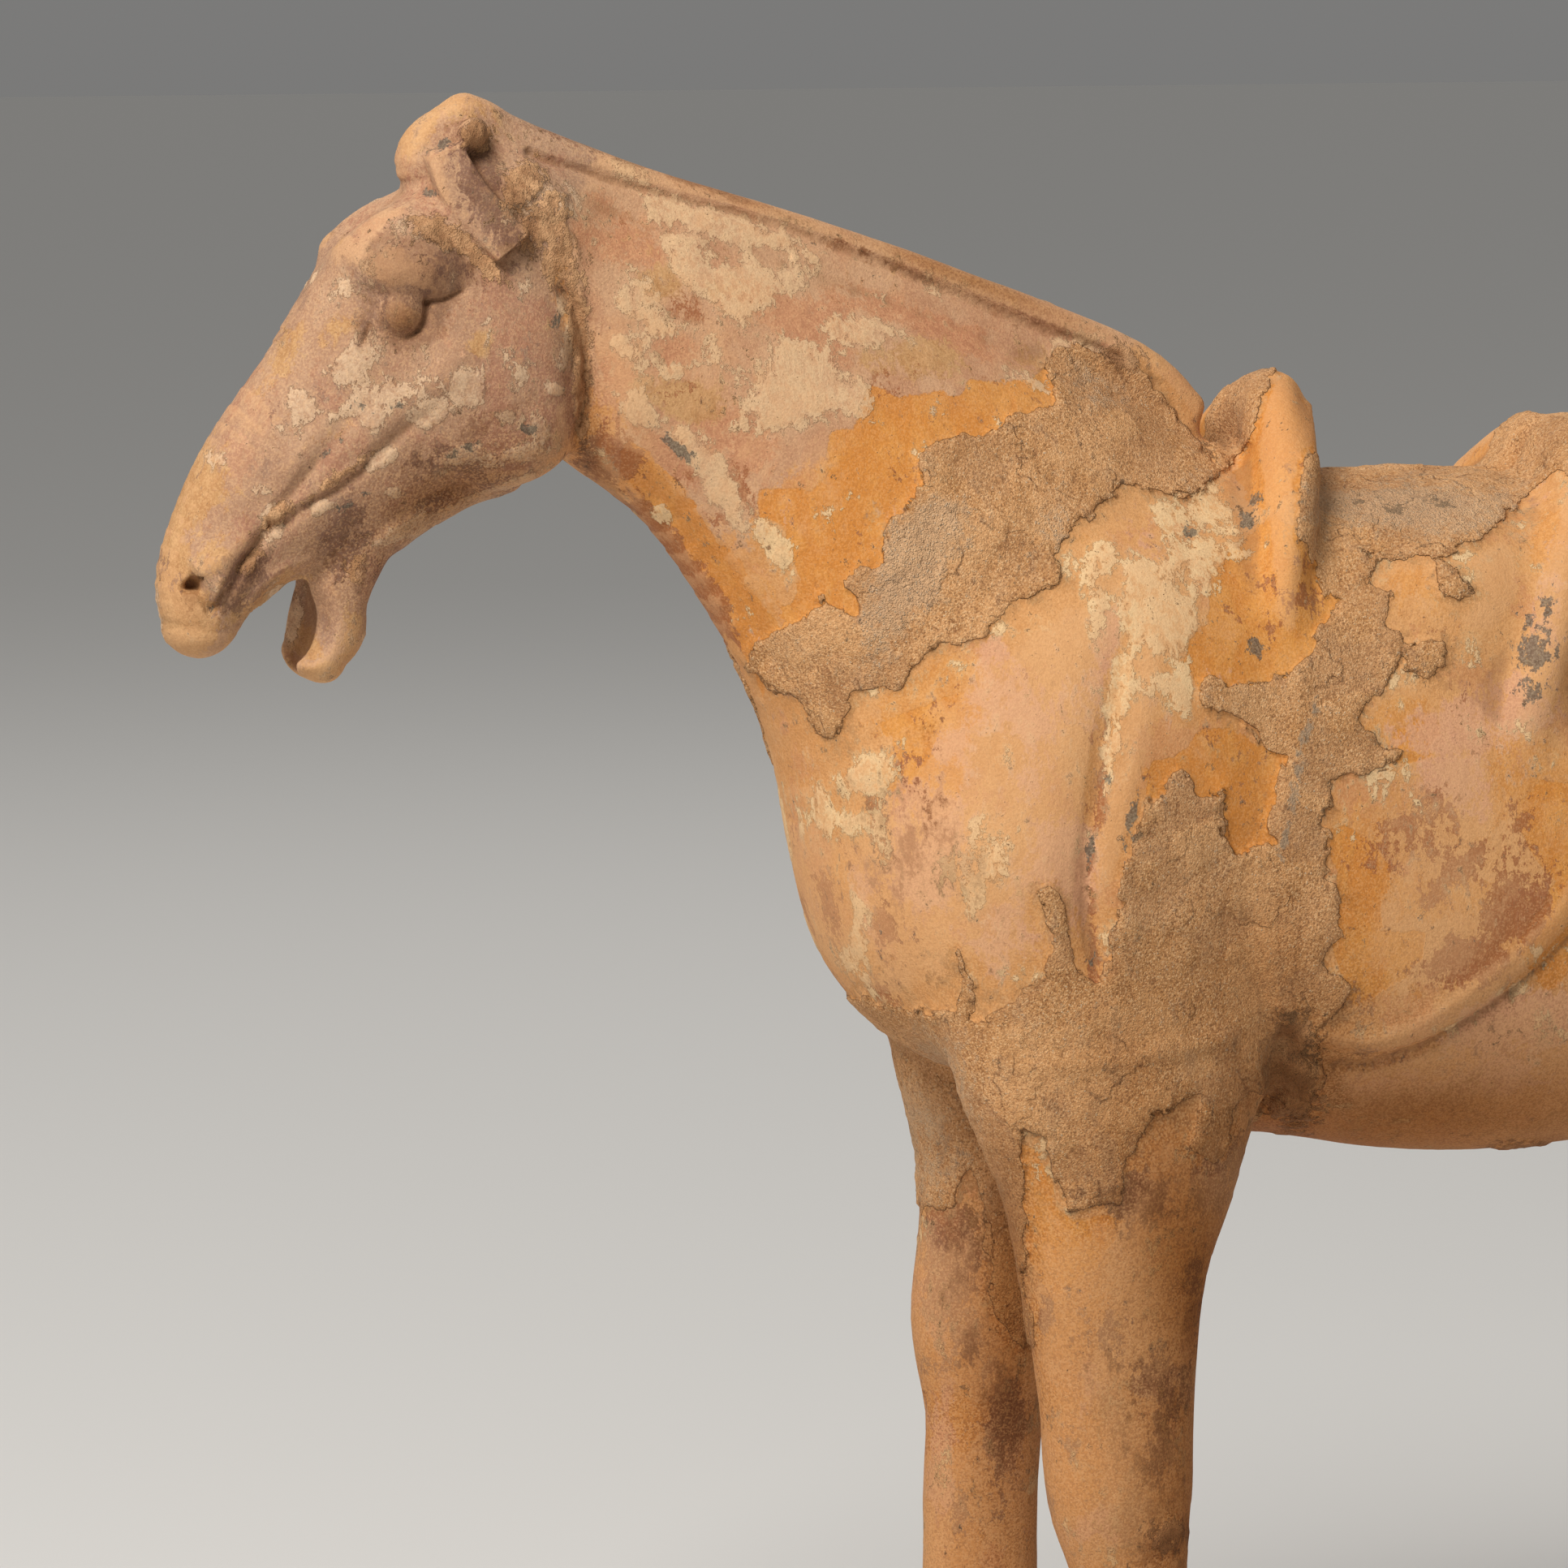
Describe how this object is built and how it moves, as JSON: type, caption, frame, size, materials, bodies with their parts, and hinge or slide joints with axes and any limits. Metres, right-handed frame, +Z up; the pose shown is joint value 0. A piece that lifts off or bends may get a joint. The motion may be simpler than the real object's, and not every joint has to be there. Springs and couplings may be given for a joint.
{
  "type": "tomb horse figure",
  "caption": "Standing pottery horse with lowered head, open mouth, cropped mane and saddle, on a thin slab; a tomb figure kept as an ornament.",
  "frame": {"origin": "centre of the slab's underside, on what the figure stands on", "axes": "+Z up, -X the way the horse faces, +Y its right side"},
  "size_m": [0.5743, 0.1324, 0.5016],
  "materials": {
    "painted_pottery": "matt orange slip over reddish clay, worn to cream and mauve, with brown burial earth",
    "bare_pottery": "matt unglazed clay with traces of slip and burial earth"
  },
  "bodies": {
    "root": {"horse": "painted_pottery", "plinth": "bare_pottery"}
  },
  "joints": []
}
